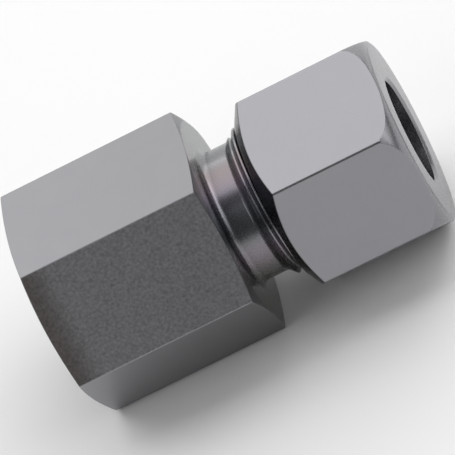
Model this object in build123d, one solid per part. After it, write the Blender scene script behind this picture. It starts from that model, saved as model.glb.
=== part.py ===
from build123d import *

import os
from math import cos, radians, sin, sqrt, tan

# Straight coupling that joins a plain tube to a threaded port. It lies on a table with its axis
# level: +X runs from the female pipe thread to the tube's end, and +Z is up. A hexagon body
# carries a threaded stud. The union nut on the stud presses a cutting ring into the 24 degree
# cone in the stud's mouth, round the tube. All sizes are in millimetres and all angles in
# degrees. Threads are plain cylinders here: the stud's is at its crests, the nut's is just clear
# of it, and the port's is at its crests.

# Tube and what fits round it
tube_diameter = 12.0
tube_stop_width = 1.0
socket_clearance = 0.05
ring_clearance = 0.08
nut_clearance = 0.15

# Body, from the female end to the stud's end
body_flats = 24.0
hex_edge_length = 21.4
bevel_angle = 12.0
end_bevel_depth = 0.7
shoulder_face_inset = 0.1
neck_end = 3.75
neck_depth = 1.1
neck_root_bevel = 0.6
neck_slope_angle = 45.0
stud_length = 11.9
stud_wall = 1.8
stud_chamfer = 0.9

# Openings through the body
port_diameter = 14.95
port_depth = 14.0
port_chamfer = 1.0
drill_point_angle = 118.0
socket_depth = 7.0
cone_angle = 24.0
cone_mouth_margin = 1.15

# Cutting ring
ring_length = 9.4
ring_nose_wall = 0.47
ring_collar_wall = 1.82
ring_rear_wall = 0.52
ring_collar_gap = 1.2
ring_edge_width = 0.6
ring_groove_width = 1.4
ring_groove_depth = 0.35
seat_gap = 0.05

# Union nut
nut_flats = 22.0
nut_length = 17.1
nut_turn = 16.9
nut_guide_length = 3.6
nut_bore_chamfer = 0.25
nut_bevel_angle = 30.0
nut_crown_radius = 2.4
nut_face_inset = 0.58
nut_rim_width = 0.5
thread_clearance = 0.1
shoulder_angle = 45.0

# Places along the axis, measured from the female end
hex_end = end_bevel_depth + hex_edge_length
stud_end = hex_end + stud_length
tube_stop = stud_end - socket_depth

# Radii
body_corner = body_flats / sqrt(3)
nut_corner = nut_flats / sqrt(3)
tube_radius = tube_diameter / 2
passage_radius = tube_radius - tube_stop_width
socket_radius = tube_radius + socket_clearance
mouth_radius = tube_radius + cone_mouth_margin
stud_radius = mouth_radius + stud_wall
neck_radius = stud_radius - neck_depth
ring_bore_radius = tube_radius + ring_clearance
ring_nose_radius = ring_bore_radius + ring_nose_wall
ring_collar_radius = ring_bore_radius + ring_collar_wall
ring_rear_radius = ring_bore_radius + ring_rear_wall
nut_bore_radius = tube_radius + nut_clearance
nut_thread_radius = stud_radius + thread_clearance

# The ring's nose lies on the body's cone and its rear flank on the nut's, each seat_gap away
cone_slope = tan(radians(cone_angle / 2))
cone_start = stud_end - (mouth_radius - socket_radius) / cone_slope
nose_offset = seat_gap / cos(radians(cone_angle / 2))
ring_start = cone_start + (ring_nose_radius + nose_offset - socket_radius) / cone_slope
ring_end = ring_start + ring_length
flank_slope = tan(radians(shoulder_angle))
flank_offset = seat_gap / sin(radians(shoulder_angle))

# The nut's inner cone faces the ring's rear flank and ends at the bore that guides the tube
nut_cone_end = ring_end + flank_offset + (ring_rear_radius - nut_bore_radius) / flank_slope
nut_cone_start = nut_cone_end - (nut_thread_radius - nut_bore_radius) / flank_slope
nut_end = nut_cone_end + nut_guide_length
nut_start = nut_end - nut_length

# The lowest of the body's flat and the nut's corner is on the table
corner_offset = 30 - nut_turn % 60
axis_height = max(body_flats / 2, nut_corner * cos(radians(corner_offset)))


def turned(points):
    """A solid of revolution about the axis, from (along, radius) points."""
    return revolve(make_face(Polyline(*points, close=True)), Axis.X)


def hexagon_bar(flats, start, end, turn=0):
    """A hexagon bar with a flat on top, turned about the axis."""
    section = Plane.YZ * RegularPolygon(flats / 2, 6, major_radius=False, rotation=turn)
    return Pos(start, 0, 0) * extrude(section, end - start)


def body_outline():
    """The turned outside: bevelled ends, shoulder face, relief groove with its root eased, stud."""
    bevel_slope = tan(radians(bevel_angle))
    shoulder_radius = body_flats / 2 - shoulder_face_inset
    neck_start = hex_end + (body_corner - shoulder_radius) * bevel_slope
    slope_start = hex_end + neck_end
    slope_end = slope_start + neck_depth / tan(radians(neck_slope_angle))
    section = make_face(Polyline(
        (0, 0),
        (0, body_corner - end_bevel_depth / bevel_slope),
        (end_bevel_depth, body_corner),
        (hex_end, body_corner),
        (neck_start, shoulder_radius),
        (neck_start, neck_radius),
        (slope_start, neck_radius),
        (slope_end, stud_radius),
        (stud_end - stud_chamfer, stud_radius),
        (stud_end, stud_radius - stud_chamfer),
        (stud_end, 0),
        close=True,
    ))
    root = section.vertices().sort_by_distance((neck_start, neck_radius, 0))[0]
    return revolve(chamfer(root, neck_root_bevel), Axis.X)


def body_openings():
    """The way through: threaded port, drill point, passage, tube socket and cone."""
    port_radius = port_diameter / 2
    point_length = (port_radius - passage_radius) / tan(radians(drill_point_angle / 2))
    return turned((
        (0, 0),
        (0, port_radius + port_chamfer),
        (port_chamfer, port_radius),
        (port_depth, port_radius),
        (port_depth + point_length, passage_radius),
        (tube_stop, passage_radius),
        (tube_stop, socket_radius),
        (cone_start, socket_radius),
        (stud_end, mouth_radius),
        (stud_end, 0),
    ))


def make_body():
    """Hexagon body with its stud, turned from one bar."""
    return (hexagon_bar(body_flats, 0, stud_end) & body_outline()) - body_openings()


def make_ring():
    """Cutting ring: cone nose, collar, rear flank, and two cutting edges beside a groove."""
    step_start = stud_end + ring_collar_gap
    step_radius = ring_nose_radius + (step_start - ring_start) * cone_slope
    step_end = step_start + (ring_collar_radius - step_radius) / flank_slope
    flank_start = ring_end - (ring_collar_radius - ring_rear_radius) / flank_slope
    groove_start = ring_start + ring_edge_width
    groove_end = groove_start + ring_groove_width
    groove_radius = ring_bore_radius + ring_groove_depth
    return turned((
        (ring_start, ring_bore_radius),
        (ring_start, ring_nose_radius),
        (step_start, step_radius),
        (step_end, ring_collar_radius),
        (flank_start, ring_collar_radius),
        (ring_end, ring_rear_radius),
        (ring_end, ring_bore_radius),
        (groove_end, ring_bore_radius),
        (groove_end, groove_radius),
        (groove_start + ring_groove_depth, groove_radius),
        (groove_start, ring_bore_radius),
    ))


def nut_outline():
    """The turned outside: a sharp bevel round the thread's mouth, a rounded crown at the tube's."""
    bevel_slope = tan(radians(nut_bevel_angle))
    rim_radius = nut_thread_radius + nut_rim_width
    face_radius = nut_flats / 2 - nut_face_inset
    mouth_corner = nut_start + (nut_corner - rim_radius) * bevel_slope
    crown_inset = nut_crown_radius * (1 - sin(radians(nut_bevel_angle)))
    crown_end = nut_end - (nut_corner - crown_inset - face_radius) * bevel_slope
    crown_start = crown_end - nut_crown_radius * cos(radians(nut_bevel_angle))
    sides = Polyline(
        (crown_end, nut_corner - crown_inset),
        (nut_end, face_radius),
        (nut_end, 0),
        (nut_start, 0),
        (nut_start, rim_radius),
        (mouth_corner, nut_corner),
        (crown_start, nut_corner),
    )
    crown = JernArc((crown_start, nut_corner), (1, 0), nut_crown_radius, nut_bevel_angle - 90)
    return revolve(make_face(sides + crown), Axis.X)


def nut_openings():
    """Thread bore, the inner cone that presses the ring, and the bore that guides the tube."""
    return turned((
        (nut_start, 0),
        (nut_start, nut_thread_radius),
        (nut_cone_start, nut_thread_radius),
        (nut_cone_end, nut_bore_radius),
        (nut_end - nut_bore_chamfer, nut_bore_radius),
        (nut_end, nut_bore_radius + nut_bore_chamfer),
        (nut_end, 0),
    ))


def make_nut():
    """Union nut, turned on the stud as it was left when tightened by hand."""
    bar = hexagon_bar(nut_flats, nut_start, nut_end, nut_turn)
    return (bar & nut_outline()) - nut_openings()


pieces = {
    "fitting_body": make_body(),
    "cutting_ring": make_ring(),
    "union_nut": make_nut(),
}

# The origin is on the table, below the middle of the fitting
place = Pos(-nut_end / 2, 0, axis_height)
os.makedirs("parts", exist_ok=True)
for name, piece in pieces.items():
    export_step(place * piece, f"parts/{name}.step")
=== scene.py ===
# %% [markdown]
# # A compression coupling in zinc-plated steel
# The coupling joins a plain tube to a threaded port. It has three pieces: a hexagon body with a
# threaded stud, a union nut on that stud, and a cutting ring between them that grips the tube.
# This lesson cuts each piece as a workshop does, from bar, on a lathe and with thread tools, and
# then gives it its plated finish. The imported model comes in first, because every piece has to
# land exactly on it.

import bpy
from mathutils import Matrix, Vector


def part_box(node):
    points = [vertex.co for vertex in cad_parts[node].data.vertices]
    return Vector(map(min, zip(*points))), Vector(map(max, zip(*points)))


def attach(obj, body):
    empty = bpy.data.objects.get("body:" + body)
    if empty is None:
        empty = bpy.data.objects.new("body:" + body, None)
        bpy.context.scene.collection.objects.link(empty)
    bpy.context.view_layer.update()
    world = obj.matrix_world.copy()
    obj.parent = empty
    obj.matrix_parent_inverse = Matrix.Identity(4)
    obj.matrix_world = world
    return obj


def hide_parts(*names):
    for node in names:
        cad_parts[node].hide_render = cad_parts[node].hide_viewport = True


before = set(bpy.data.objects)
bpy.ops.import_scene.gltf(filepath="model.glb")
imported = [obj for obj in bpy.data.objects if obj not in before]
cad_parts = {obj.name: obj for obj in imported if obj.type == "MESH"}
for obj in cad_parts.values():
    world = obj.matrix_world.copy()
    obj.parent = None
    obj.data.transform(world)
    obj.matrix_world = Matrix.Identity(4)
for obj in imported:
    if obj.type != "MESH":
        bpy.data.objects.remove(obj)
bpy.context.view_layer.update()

# %% [markdown]
# Blender measures in metres, but thread and bevel sizes are easier to read in millimetres. So each
# piece is cut in millimetres on its own axis, with the body's female end at zero, and only its
# last step shrinks it and puts it in its place. The places along the axis come from the frame, so
# the pieces can't drift away from the solids that they dress.

# %% Sizes from the frame
from math import cos, pi, radians, sin, sqrt, tan

import bmesh
import bpy
from mathutils import Matrix, Vector

mm = 0.001
body_low, body_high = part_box("fitting_body")
ring_low, ring_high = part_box("cutting_ring")
nut_low, nut_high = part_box("union_nut")
axis_height = (body_low.z + body_high.z) / 2


def along(x):
    """Millimetres from the body's female end."""
    return (x - body_low.x) / mm


stud_end = along(body_high.x)
ring_start, ring_end = along(ring_low.x), along(ring_high.x)
nut_start, nut_end = along(nut_low.x), along(nut_high.x)
print(f"stud ends at {stud_end:.2f} mm, nut runs {nut_start:.2f} to {nut_end:.2f} mm")

# %% [markdown]
# An operator works on whatever is selected, as the mouse does. So one helper leaves a single piece
# selected and active, and another picks corners or edges in edit mode by where they are, which
# holds even when their numbers change.

# %% Selecting by place
def work_on(piece):
    """Leave `piece` alone selected and active, in object mode."""
    if bpy.context.mode != "OBJECT":
        bpy.ops.object.mode_set(mode="OBJECT")
    bpy.ops.object.select_all(action="DESELECT")
    piece.select_set(True)
    bpy.context.view_layer.objects.active = piece


def pick(piece, kind, wanted):
    """Select the corners or edges that `wanted` says yes to, and stay in edit mode."""
    bpy.ops.object.mode_set(mode="EDIT")
    bpy.ops.mesh.select_mode(type=kind)
    bpy.ops.mesh.select_all(action="DESELECT")
    mesh = bmesh.from_edit_mesh(piece.data)
    for part in mesh.verts if kind == "VERT" else mesh.edges:
        part.select_set(wanted(part))
    mesh.select_flush_mode()
    bmesh.update_edit_mesh(piece.data)


# %% [markdown]
# A turned shape is a wire outline swung round the axis. The wire starts as a small circle merged
# to one point, and each corner is one extrusion from the last. It could be a curve instead, but a
# mesh wire keeps every corner exactly where the drawing says.

# %% Drawing an outline
same_point = 0.002


def draw_outline(name, corners):
    """A closed wire through (along, radius) corners, in the plane above the axis."""
    start = Vector((corners[0][0], 0, corners[0][1]))
    bpy.ops.object.select_all(action="DESELECT")
    bpy.ops.mesh.primitive_circle_add(vertices=3, radius=1, location=start)
    piece = bpy.context.object
    piece.name = name
    bpy.ops.object.transform_apply(location=True, rotation=True, scale=True)
    bpy.ops.object.mode_set(mode="EDIT")
    bpy.ops.mesh.select_mode(type="VERT")
    bpy.ops.mesh.select_all(action="SELECT")
    bpy.ops.mesh.merge(type="CENTER")
    for here, there in zip(corners, corners[1:] + corners[:1]):
        step = (there[0] - here[0], 0, there[1] - here[1])
        bpy.ops.mesh.extrude_vertices_move(TRANSFORM_OT_translate={"value": step})
    bpy.ops.mesh.select_all(action="SELECT")
    bpy.ops.mesh.remove_doubles(threshold=same_point)
    bpy.ops.object.mode_set(mode="OBJECT")
    return piece


# %% [markdown]
# Corners that the lathe tool leaves round are bevelled on the wire, before it is swung, which
# costs a few points instead of a few hundred. The swing's steps are close enough together that
# the round edges look round up close.

# %% Rounding and turning
around = 174


def round_corner(piece, place, reach, steps):
    """Round the wire's corner at `place`, from `reach` before it to `reach` after it."""
    target = Vector((place[0], 0, place[1]))
    pick(piece, "VERT", lambda corner: (corner.co - target).length < 0.01)
    bpy.ops.mesh.bevel(offset=reach, segments=steps, affect="VERTICES", clamp_overlap=False)
    bpy.ops.object.mode_set(mode="OBJECT")


def turn(piece):
    """Swing the wire round the axis into a closed solid."""
    bpy.ops.object.mode_set(mode="EDIT")
    bpy.ops.mesh.select_all(action="SELECT")
    bpy.ops.mesh.spin(steps=around, angle=2 * pi, center=(0, 0, 0), axis=(1, 0, 0))
    bpy.ops.mesh.select_all(action="SELECT")
    bpy.ops.mesh.remove_doubles(threshold=same_point)
    bpy.ops.mesh.normals_make_consistent(inside=False)
    bpy.ops.object.mode_set(mode="OBJECT")
    print(piece.name, "turned:", len(piece.data.vertices), "points")


# %% [markdown]
# A lathe cut through a hexagon bar leaves what both shapes share, with the curved edges on the
# flats that every turned nut has. A Boolean modifier finds those edges exactly.

# %% Cutting one piece with another
def combine(piece, tool, operation):
    """Cut `piece` with `tool`, or keep only what both share, and clear the tool away."""
    work_on(piece)
    cut = piece.modifiers.new(operation, "BOOLEAN")
    cut.operation = operation
    cut.object = tool
    cut.solver = "EXACT"
    bpy.ops.object.modifier_apply(modifier=cut.name)
    bpy.data.objects.remove(tool)


# %% [markdown]
# Both hexagons are drawn bar: six-sided, with long edges that the drawing die leaves slightly
# round. A flat is on top. The bar is a six-sided cylinder laid on its side, with only its long
# edges bevelled.

# %% Hexagon bar
def hexagon_bar(name, flats, start, end, edge_round):
    bpy.ops.object.select_all(action="DESELECT")
    bpy.ops.mesh.primitive_cylinder_add(
        vertices=6, radius=flats / sqrt(3), depth=end - start,
        location=((start + end) / 2, 0, 0), rotation=(0, pi / 2, 0),
    )
    piece = bpy.context.object
    piece.name = name
    bpy.ops.object.transform_apply(location=True, rotation=True, scale=True)
    pick(piece, "EDGE", lambda edge: abs(edge.verts[0].co.x - edge.verts[1].co.x) > 1)
    bpy.ops.mesh.bevel(offset=edge_round, segments=4, affect="EDGES")
    bpy.ops.object.mode_set(mode="OBJECT")
    return piece


# %% [markdown]
# A thread is cut by a tool with the groove's section, which moves one pitch along for each turn.
# The Screw modifier draws the path of such a tool: a wire section swept along a helix, closed at
# both ends. Both ends lie in the open, so the groove runs in and out as a real one does. Rings
# side by side would be cheaper, but they show as soon as the nut turns.

# %% Thread tool
def thread_tool(name, pitch, first_groove, turns, section, root_round):
    """`section` is half a groove, as (half width, radius) from its root to its open side."""
    left = [(first_groove - half, radius) for half, radius in section]
    right = [(first_groove + half, radius) for half, radius in reversed(section)]
    tool = draw_outline(name, left + right)
    round_corner(tool, left[0], root_round, 3)
    round_corner(tool, right[-1], root_round, 3)
    work_on(tool)
    sweep = tool.modifiers.new("helix", "SCREW")
    sweep.axis = "X"
    sweep.angle = 2 * pi * turns
    sweep.screw_offset = pitch * turns
    sweep.steps = round(around * turns * 0.75)
    sweep.render_steps = sweep.steps
    sweep.use_normal_calculate = True
    bpy.ops.object.modifier_apply(modifier=sweep.name)
    bpy.ops.object.mode_set(mode="EDIT")
    bpy.ops.mesh.select_all(action="SELECT")
    bpy.ops.mesh.fill_holes(sides=0)
    bpy.ops.mesh.select_all(action="SELECT")
    bpy.ops.mesh.normals_make_consistent(inside=False)
    bpy.ops.object.mode_set(mode="OBJECT")
    print(f"{name}: {turns} turns of {pitch:.3f} mm")
    return tool


# %% [markdown]
# Deburring after the cut leaves a small round on every sharp edge, and that round is what catches
# the light. A Bevel modifier that only takes steep edges makes it. It is given before the thread
# is cut, so the fine grooves stay crisp.

# %% Deburring
steep = radians(34)
burr_width = 0.1


def deburr(piece):
    work_on(piece)
    bevel = piece.modifiers.new("deburred", "BEVEL")
    bevel.limit_method = "ANGLE"
    bevel.angle_limit = steep
    bevel.width = burr_width
    bevel.segments = 2
    bpy.ops.object.modifier_apply(modifier=bevel.name)
    print(piece.name, "deburred:", len(piece.data.polygons), "faces")


# %% [markdown]
# The last step is the same for each piece. It turns the piece on its axis, shrinks it to metres
# and puts its place into its mesh. Shading is smooth across shallow edges only, and is weighted by
# the size of the faces, which keeps the big flats truly flat. Then the piece is given to the body
# that carries it, and the solid that it replaces is hidden.

# %% Putting a piece in its place
def finish_piece(piece, body, node, turned=0.0):
    work_on(piece)
    piece.rotation_euler = (turned, 0, 0)
    piece.scale = (mm, mm, mm)
    piece.location = (body_low.x, 0, axis_height)
    bpy.ops.object.transform_apply(location=True, rotation=True, scale=True)
    bpy.ops.object.shade_smooth_by_angle(angle=steep)
    even = piece.modifiers.new("even shading", "WEIGHTED_NORMAL")
    even.keep_sharp = True
    bpy.ops.object.modifier_apply(modifier=even.name)
    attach(piece, body)
    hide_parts(node)
    print(piece.name, "has", len(piece.data.polygons), "faces")


# %% [markdown]
# The body is 24 mm hexagon bar. Outside, a lathe bevels the female end, faces the shoulder, and
# turns the relief groove and the stud. The groove lets the thread tool run out, and its root is
# rounded so that the neck doesn't crack there.

# %% Body: outside sizes
body_flats = 24.0
body_corner = body_flats / sqrt(3)
bevel_slope = tan(radians(12))
end_bevel = 0.7
hex_end = 22.1
shoulder_radius = 11.9
neck_radius = 7.85
neck_start = hex_end + (body_corner - shoulder_radius) * bevel_slope
neck_length = 3.75
slope_start = hex_end + neck_length
stud_radius = 8.95
slope_end = slope_start + stud_radius - neck_radius
stud_chamfer = 0.9
print(f"neck {neck_start:.2f} to {slope_start:.2f} mm")

# %% [markdown]
# Inside, the female end has a tapping hole with a 118 degree drill point, then a passage. From
# the stud's end the tube goes through a 24 degree cone into a socket, and stops on a step.

# %% Body: inside sizes
socket_radius = 6.05
socket_depth = 7.0
passage_radius = 5.0
mouth_radius = 7.15
cone_slope = tan(radians(12))
cone_start = stud_end - (mouth_radius - socket_radius) / cone_slope
port_radius = 7.475
port_depth = 14.0
port_chamfer = 1.0
point_length = (port_radius - passage_radius) / tan(radians(59))
print(f"cone starts at {cone_start:.2f} mm, drill point ends at {port_depth + point_length:.2f} mm")

# %% [markdown]
# Outside and inside go into one closed wire, so a single swing makes the whole turned body. The
# two ends of the groove are rounded on the wire: wide at the shoulder, tight at the slope.

# %% Body: outline
body = draw_outline("dressed_body", [
    (0, body_corner - end_bevel / bevel_slope),
    (end_bevel, body_corner),
    (hex_end, body_corner),
    (neck_start, shoulder_radius),
    (neck_start, neck_radius),
    (slope_start, neck_radius),
    (slope_end, stud_radius),
    (stud_end - stud_chamfer, stud_radius),
    (stud_end, stud_radius - stud_chamfer),
    (stud_end, mouth_radius),
    (cone_start, socket_radius),
    (stud_end - socket_depth, socket_radius),
    (stud_end - socket_depth, passage_radius),
    (port_depth + point_length, passage_radius),
    (port_depth, port_radius),
    (port_chamfer, port_radius),
    (0, port_radius + port_chamfer),
])
round_corner(body, (neck_start, neck_radius), 0.9, 8)
round_corner(body, (slope_start, neck_radius), 0.25, 4)
turn(body)

# %% Body: bar
past_end = 2
body_bar = hexagon_bar("body_bar", body_flats, -past_end, stud_end + past_end, 0.15)
combine(body, body_bar, "INTERSECT")
deburr(body)

# %% [markdown]
# The stud's thread is M18 x 1.5, right-handed. Its first crest rises out of the groove's slope
# just before the nut, and where that crest crosses the top of the turn fixes the whole helix. The
# section widens in small steps near its open side, so the crests end in a narrow flat.

# %% Body: stud thread
stud_pitch = 1.5
crest_at_top = 27.35
stud_tool = thread_tool(
    "stud_tool", stud_pitch, crest_at_top - 1.5 * stud_pitch, 7.0,
    [(0.11, 8.05), (0.6, 8.9), (0.65, 8.94), (0.7, 8.96), (0.72, 9.3)], 0.06,
)
combine(body, stud_tool, "DIFFERENCE")

# %% [markdown]
# The port has a G 3/8 pipe thread, 19 turns to the inch. It is seen only from the female end, but
# a plain hole there would look unfinished. Its grooves open inwards, so the section's open side
# has the smaller radius.

# %% Body: port thread
port_pitch = 25.4 / 19
port_tool = thread_tool(
    "port_tool", port_pitch, -1.5, 10.6,
    [(0.12, 8.331), (0.55, port_radius), (0.6, 7.2)], 0.08,
)
combine(body, port_tool, "DIFFERENCE")
finish_piece(body, "body", "fitting_body")

# %% [markdown]
# The cutting ring is turned and hardened. Its nose lies on the body's cone, its rear flank on the
# nut's, and two edges inside it bite the tube when the nut is tightened. It is a full turned shape
# with no bar round it, so the outline alone makes it.

# %% Ring: sizes
ring_bore = 6.08
nose_radius = 6.55
collar_radius = 7.9
rear_radius = 6.6
step_start = stud_end + 1.2
step_radius = nose_radius + (step_start - ring_start) * cone_slope
edge_start = ring_start + 0.6
edge_depth = 0.35
groove_end = edge_start + 1.4

# %% Ring: outline
ring = draw_outline("dressed_ring", [
    (ring_start, ring_bore),
    (ring_start, nose_radius),
    (step_start, step_radius),
    (step_start + collar_radius - step_radius, collar_radius),
    (ring_end - (collar_radius - rear_radius), collar_radius),
    (ring_end, rear_radius),
    (ring_end, ring_bore),
    (groove_end, ring_bore),
    (groove_end, ring_bore + edge_depth),
    (edge_start + edge_depth, ring_bore + edge_depth),
    (edge_start, ring_bore),
])
turn(ring)
finish_piece(ring, "ring", "cutting_ring")

# %% [markdown]
# The nut is 22 mm hexagon bar. Its thread end has a sharp 30 degree bevel. At its tube end a crown
# rounds the hexagon's corners into a second bevel, and the curve takes nearly all of it.

# %% Nut: outside sizes
nut_flats = 22.0
nut_corner = nut_flats / sqrt(3)
nut_turned = radians(16.9)
nut_slope = tan(radians(30))
rim_radius = 9.55
face_radius = 10.6
crown = 3.0
crown_reach = crown * tan(radians(30))
crown_place = nut_end - (nut_corner - face_radius) * nut_slope
print(f"crown starts {nut_end - crown_place + crown_reach:.2f} mm before the end")

# %% [markdown]
# Inside are the thread, a relief where the thread tool ran out, the cone that presses the ring,
# and the bore that guides the tube. The bore's edge is broken, so the tube goes in easily.

# %% Nut: inside sizes
nut_bore = 6.15
guide_length = 3.6
bore_chamfer_width = 0.4
bore_chamfer_depth = 0.3
nut_cone_end = nut_end - guide_length
relief_radius = 9.07
relief_length = 2.0
thread_bore = 8.3
mouth_chamfer = 0.8
nut_cone_start = nut_cone_end - (relief_radius - nut_bore)
relief_start = nut_cone_start - relief_length

# %% Nut: outline
nut = draw_outline("dressed_nut", [
    (nut_start, rim_radius),
    (nut_start + (nut_corner - rim_radius) * nut_slope, nut_corner),
    (crown_place, nut_corner),
    (nut_end, face_radius),
    (nut_end, nut_bore + bore_chamfer_width),
    (nut_end - bore_chamfer_depth, nut_bore),
    (nut_cone_end, nut_bore),
    (nut_cone_start, relief_radius),
    (relief_start, relief_radius),
    (relief_start - (relief_radius - thread_bore), thread_bore),
    (nut_start + mouth_chamfer, thread_bore),
    (nut_start, thread_bore + mouth_chamfer),
])
round_corner(nut, (crown_place, nut_corner), crown_reach, 10)
turn(nut)

# %% Nut: bar
nut_bar = hexagon_bar("nut_bar", nut_flats, nut_start - past_end, nut_end + past_end, 0.2)
combine(nut, nut_bar, "INTERSECT")
deburr(nut)

# %% [markdown]
# The nut's thread has to follow the stud's at the place where the nut stands. The nut is cut with
# a flat on top and turned afterwards, so its helix starts that much further along.

# %% Nut: thread
nut_groove = crest_at_top + stud_pitch * nut_turned / (2 * pi)
nut_tool = thread_tool(
    "nut_tool", stud_pitch, nut_groove - stud_pitch, 7.6,
    [(0.16, 9.05), (0.57, thread_bore), (0.62, 8.0)], 0.06,
)
combine(nut, nut_tool, "DIFFERENCE")
finish_piece(nut, "nut", "union_nut", nut_turned)

# %% [markdown]
# A finish is arithmetic on patterns, so a small class wraps a socket and lets it be added,
# multiplied and compared like a number: every operator puts one Math node in the material.

# %% Sums on sockets
class Signal:
    """A socket that adds a Math node to its finish for each operator."""

    def __init__(self, finish, socket):
        self.finish = finish
        self.socket = socket

    def math(self, operation, *others):
        values = dict(enumerate((self, *others)))
        made = self.finish.node("ShaderNodeMath", {"operation": operation}, values)
        return Signal(self.finish, made.outputs[0])

    def __add__(self, other):
        return self.math("ADD", other)

    __radd__ = __add__

    def __mul__(self, other):
        return self.math("MULTIPLY", other)

    __rmul__ = __mul__

    def __sub__(self, other):
        return self.math("SUBTRACT", other)

    def __rsub__(self, other):
        return (self * -1) + other

    def __truediv__(self, other):
        return self.math("DIVIDE", other)

    def __pow__(self, other):
        return self.math("POWER", other)

    def __abs__(self):
        return self.math("ABSOLUTE")

    def above(self, low, high):
        """0 below `low`, 1 above `high`, with a soft step between."""
        made = self.finish.node("ShaderNodeMapRange", {"interpolation_type": "SMOOTHSTEP"},
                                {"Value": self, "From Min": low, "From Max": high})
        return Signal(self.finish, made.outputs[0])


# %% [markdown]
# Each finish starts from the piece's own millimetres, so a pattern keeps its real size and stays
# on the piece when the nut turns. Any node that isn't plain maths comes from one method, with its
# settings and its socket values in plain sight.

# %% A metal finish
class Finish:
    """Zinc-plated metal, with x along the axis and y and z across it, in millimetres."""

    def __init__(self, name):
        self.material = bpy.data.materials.new(name)
        self.material.use_nodes = True
        self.tree = self.material.node_tree
        self.shader = self.tree.nodes["Principled BSDF"]
        self.shader.inputs["Metallic"].default_value = 1.0
        object_place = self.node("ShaderNodeTexCoord").outputs["Object"]
        scaled = self.node("ShaderNodeMapping", {}, {
            "Vector": Signal(self, object_place),
            "Location": (-body_low.x / mm, 0, -axis_height / mm),
            "Scale": (1 / mm, 1 / mm, 1 / mm),
        })
        self.place = Signal(self, scaled.outputs[0])
        split = self.node("ShaderNodeSeparateXYZ", {}, {0: self.place})
        self.x, self.y, self.z = (Signal(self, socket) for socket in split.outputs)
        self.radius = (self.y * self.y + self.z * self.z) ** 0.5

    def node(self, kind, settings=None, sockets=None):
        """A node of any kind, with its settings made first and then its sockets filled."""
        made = self.tree.nodes.new(kind)
        for name, value in (settings or {}).items():
            if name == "stops":
                stops = made.color_ramp.elements
                while len(stops) < len(value):
                    stops.new(1.0)
                for stop, (position, colour) in zip(stops, value):
                    stop.position, stop.color = position, (*colour, 1)
            else:
                setattr(made, name, value)
        for name, value in (sockets or {}).items():
            if isinstance(value, Signal):
                self.tree.links.new(value.socket, made.inputs[name])
            else:
                made.inputs[name].default_value = value
        return made

    def noise(self, per_mm, detail=2.0, stretch=(1, 1, 1), seed=(0, 0, 0)):
        """Soft noise from 0 to 1, with `per_mm` grains to the millimetre."""
        placed = self.node("ShaderNodeMapping", {}, {
            "Vector": self.place, "Scale": stretch, "Location": seed,
        })
        made = self.node("ShaderNodeTexNoise", {}, {
            "Vector": Signal(self, placed.outputs[0]), "Scale": per_mm, "Detail": detail,
        })
        return Signal(self, made.outputs["Fac"])

    def mix(self, amount, first, second, blend="MIX"):
        """A colour between `first` and `second`."""
        made = self.node("ShaderNodeMix", {"data_type": "RGBA", "blend_type": blend},
                         {0: amount, 6: first, 7: second})
        return Signal(self, made.outputs[2])

    def shade(self, colour, amount):
        """A colour made lighter or darker by a number that varies."""
        made = self.node("ShaderNodeVectorMath", {"operation": "SCALE"}, {0: colour, "Scale": amount})
        return Signal(self, made.outputs[0])

    def facing(self, degrees):
        """Millimetres from the axis towards a flat whose face looks `degrees` from the top."""
        return self.z * cos(radians(degrees)) - self.y * sin(radians(degrees))

    def on_flat(self, looks, reach):
        """1 on a bar's flats that look `looks` degrees from the top, 0 where it is turned."""
        flats = [abs(self.facing(degrees)) for degrees in looks]
        farthest = flats[0].math("MAXIMUM", flats[1]).math("MAXIMUM", flats[2])
        return farthest.above(reach, reach + 0.03)

    def give(self, colour, roughness, height, depth):
        """Plug in the finished colour and roughness, and a bump of `depth` millimetres."""
        self.tree.links.new(colour.socket, self.shader.inputs["Base Color"])
        self.tree.links.new(roughness.socket, self.shader.inputs["Roughness"])
        bump = self.node("ShaderNodeBump", {}, {"Height": height, "Distance": depth * mm, "Strength": 1.0})
        self.tree.links.new(bump.outputs[0], self.shader.inputs["Normal"])
        print(self.material.name, "has", len(self.tree.nodes), "nodes")
        return self.material


# %% [markdown]
# The clear coat over the zinc is so thin that it shows faint colours, as oil on water does. On the
# turned neck they are painted: a colour ramp over the angle round the axis gives bands from green
# through pink and violet to brown as the surface turns away from the light, a painted sheen that
# costs nothing in rendering. The numbers multiply the metal's own colour.

# %% Painted sheen of the clear coat
coat_sheen_bands = [
    (0.10, (0.95, 1.0, 0.97)),
    (0.30, (1.0, 1.0, 0.99)),
    (0.37, (1.12, 0.95, 0.93)),
    (0.44, (1.10, 0.93, 1.0)),
    (0.49, (1.0, 0.91, 1.06)),
    (0.58, (0.96, 1.0, 1.06)),
    (0.72, (0.98, 1.0, 1.0)),
    (0.79, (1.08, 0.96, 1.06)),
    (0.87, (1.08, 0.96, 0.98)),
    (0.96, (1.02, 1.0, 0.9)),
]


def painted_coat_sheen(made):
    """The coat's painted sheen, from 60 degrees behind the top to 120 degrees in front of it."""
    turned_by = made.node("ShaderNodeMath", {"operation": "ARCTAN2"}, {0: made.y * -1, 1: made.z})
    angle = Signal(made, turned_by.outputs[0]) * (180 / pi)
    bands = made.node("ShaderNodeValToRGB", {"stops": coat_sheen_bands}, {"Fac": (angle + 60) / 180})
    return Signal(made, bands.outputs[0])
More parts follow.
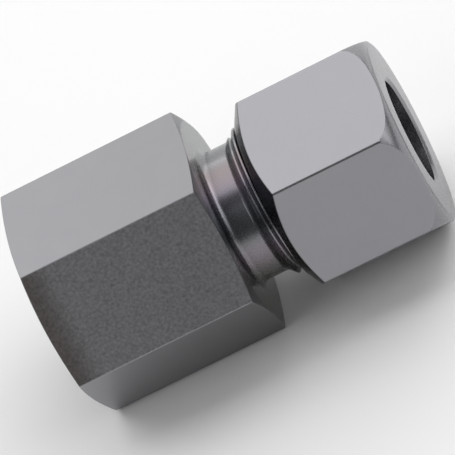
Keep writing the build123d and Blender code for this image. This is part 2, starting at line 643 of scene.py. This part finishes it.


# %% [markdown]
# Zinc plating is a dull silver with a faint blue cast. On the drawn flats it is fine-grained and
# spreads reflections widely, and the front flat is grainier than the rest and browner towards the
# female end. On the turned neck and stud it is smooth enough to mirror the room in bands. So one
# material serves the whole body, and masks by place change its colour and roughness. They also
# paint light and shade: the front flat is painted lighter, the body a little darker towards the
# nut, and the lower flat lighter at the female end and darker towards the nut.

# %% Body finish
def body_plating():
    made = Finish("body_plating")
    turned_part = made.x.above(22.45, 22.5)
    fine = made.noise(6.0, 2.0)
    cloudy = made.noise(0.35, 3.0, seed=(4, 0, 0))
    grain = made.noise(3.0, 4.0, seed=(0, 9, 0))

    front_flat = made.facing(60).above(11.96, 11.99) * (1 - turned_part)
    lower_flat = made.facing(120).above(11.96, 11.99) * (1 - turned_part)
    base = made.mix(cloudy, (0.252, 0.254, 0.266, 1), (0.272, 0.27, 0.28, 1))
    # The turned part takes the coat's painted sheen over its own colour.
    base = made.mix(turned_part * 0.8, base, painted_coat_sheen(made), "MULTIPLY")
    female_end = front_flat * (1 - made.x.above(1.0, 4.4))
    base = made.mix(female_end, base, (0.6, 0.55, 0.52, 1), "MULTIPLY")

    # Painted light and shade: the front flat is 12 percent lighter, and the body darkens towards the nut.
    light = 1.01 - made.x * 0.003 + front_flat * 0.12 - turned_part * 0.09
    light = light * (0.96 + fine * 0.08)
    # Painted light and shade on the lower flat: lighter at the female end, darker towards the nut.
    light = light * (1 + lower_flat * (0.28 - made.x * 0.026))
    speckle = 1 + (grain - 0.5) * 1.1 * front_flat
    colour = made.shade(base, light * speckle)
    roughness = 0.42 + front_flat * 0.06 - turned_part * 0.14 + (fine - 0.5) * 0.1
    return made.give(colour, roughness, fine * 0.6 + grain * 0.4, 0.002)


# %% [markdown]
# The ring is harder and brighter, with the lathe tool's fine marks round it. Noise squeezed along
# the axis and stretched round it makes such marks. They are too shallow to model, so they are a
# bump.

# %% Ring finish
def ring_plating():
    made = Finish("ring_plating")
    fine = made.noise(6.0, 2.0)
    tool_marks = made.noise(1.0, 2.0, stretch=(12, 0.4, 0.4))
    colour = made.mix(fine, (0.38, 0.38, 0.39, 1), (0.44, 0.44, 0.45, 1))
    return made.give(colour, 0.3 + fine * 0.1, tool_marks, 0.003)


# %% [markdown]
# The nut's plating is a little lighter and more violet than the body's. Its flats are satin, and
# its turned crown and end face are smoother, with painted shade that makes them a little darker.
# The bevel round the thread's mouth, which faces the shaded gap, is painted darkest. All of it is
# one material, because masks by place follow the edges more closely than faces picked by hand would.

# %% Nut finish
def nut_plating():
    made = Finish("nut_plating")
    fine = made.noise(6.0, 2.0)
    cloudy = made.noise(0.4, 3.0, seed=(8, 3, 0))
    grain = made.noise(3.0, 4.0, seed=(0, 5, 0))
    base = made.mix(cloudy, (0.316, 0.312, 0.336, 1), (0.332, 0.330, 0.346, 1))
    on_flat = made.on_flat((16.9, 76.9, 136.9), 10.95)
    past_mouth = (made.x - nut_start - (made.radius - rim_radius) * nut_slope).above(0.02, 0.12)
    # Painted shade: the mouth bevel is darkened to 0.3, and the turned surfaces to 0.82 of the flats'
    # tone.
    light = (0.95 + fine * 0.1) * (0.3 + past_mouth * 0.7) * (0.82 + on_flat * 0.18)
    roughness = 0.28 + on_flat * 0.1 + (fine - 0.5) * 0.1
    return made.give(made.shade(base, light), roughness, fine * 0.6 + grain * 0.4, 0.002)


# %% Giving the finishes
body.data.materials.append(body_plating())
ring.data.materials.append(ring_plating())
nut.data.materials.append(nut_plating())

# %% [markdown]
# The camera stands more than half a metre away with a long lens, looks down at 41.6 degrees, and
# is rolled, so the coupling climbs to the right. The numbers come from fitting the edges of both
# hexagons. A long lens keeps those edges nearly parallel.

# %% Camera
look_down = radians(41.558)
swing = radians(8.972)
roll = radians(26.308)
distance = 575.477
aim_right, aim_up = 0.449, 0.974
frame_width = 455
focal_pixels = 5185.78

bpy.ops.object.camera_add()
camera = bpy.context.object
turned = Matrix.Rotation(pi / 2 - look_down, 4, "X") @ Matrix.Rotation(swing, 4, "Y")
turned = turned @ Matrix.Rotation(-roll, 4, "Z")
centre = Vector((body_low.x + 22.5 * mm, 0, axis_height))
stand = turned @ (Vector((-aim_right, -aim_up, distance)) * mm)
camera.matrix_world = Matrix.Translation(centre + stand) @ turned
camera.data.lens = focal_pixels * camera.data.sensor_width / frame_width
camera.data.clip_start = 0.01
bpy.context.scene.camera = camera
print(f"lens {camera.data.lens:.0f} mm")

# %% [markdown]
# The coupling lies on a plain white table. Metal shows mostly what it mirrors, so the dark flats
# take their tone from this table as well as from the lights.

# %% Table
bpy.ops.mesh.primitive_plane_add(size=6)
floor = bpy.context.object
floor.name = "table_top"
paper = bpy.data.materials.new("white table")
paper.use_nodes = True
paper_shader = paper.node_tree.nodes["Principled BSDF"]
paper_shader.inputs["Base Color"].default_value = (0.9, 0.9, 0.9, 1)
paper_shader.inputs["Roughness"].default_value = 0.9
floor.data.materials.append(paper)


# %% [markdown]
# Large soft boxes give metal its broad, even tones. Two stand behind the coupling, high and low,
# and the light flats mirror them. One at the right lights the crown and the shoulder, and two weak
# ones in front fill the shadow. Brightness is set as glow, which is what the metal mirrors, and
# the lamp's power follows from its area.

# %% Soft boxes
def soft_box(name, bearing, elevation, reach, wide, deep, glow):
    """A rectangular light at `reach` metres; bearing 0 is behind the object, 90 to its right."""
    side = Vector((sin(radians(bearing)), cos(radians(bearing)), 0))
    place = side * cos(radians(elevation)) * reach + Vector((0, 0, sin(radians(elevation)) * reach))
    bpy.ops.object.light_add(type="AREA", location=place)
    light = bpy.context.object
    light.name = name
    light.rotation_euler = (-place).to_track_quat("-Z", "Y").to_euler()
    light.data.shape = "RECTANGLE"
    light.data.size, light.data.size_y = wide, deep
    light.data.energy = glow * pi * wide * deep
    light.visible_camera = False
    print(f"{name}: {light.data.energy:.1f} W")


soft_box("overhead", 0, 63, 1.2, 2.6, 1.7, 1.45)
soft_box("back", 0, 14, 1.6, 3.0, 1.3, 0.95)
soft_box("right", 90, 38, 1.5, 1.6, 1.5, 0.95)
soft_box("front right", 130, 38, 1.5, 1.2, 1.2, 0.65)
soft_box("front left", -130, 38, 1.5, 1.0, 1.0, 1.0)

# %% [markdown]
# The rest of the room is dark, which gives the front of the neck its depth. Plain display colours
# keep the white table white, where a filmic curve would turn it grey.

# %% Room
room = bpy.data.worlds.new("room")
bpy.context.scene.world = room
room.use_nodes = True
room.node_tree.nodes["Background"].inputs["Color"].default_value = (0.09, 0.09, 0.09, 1)
bpy.context.scene.view_settings.view_transform = "Standard"
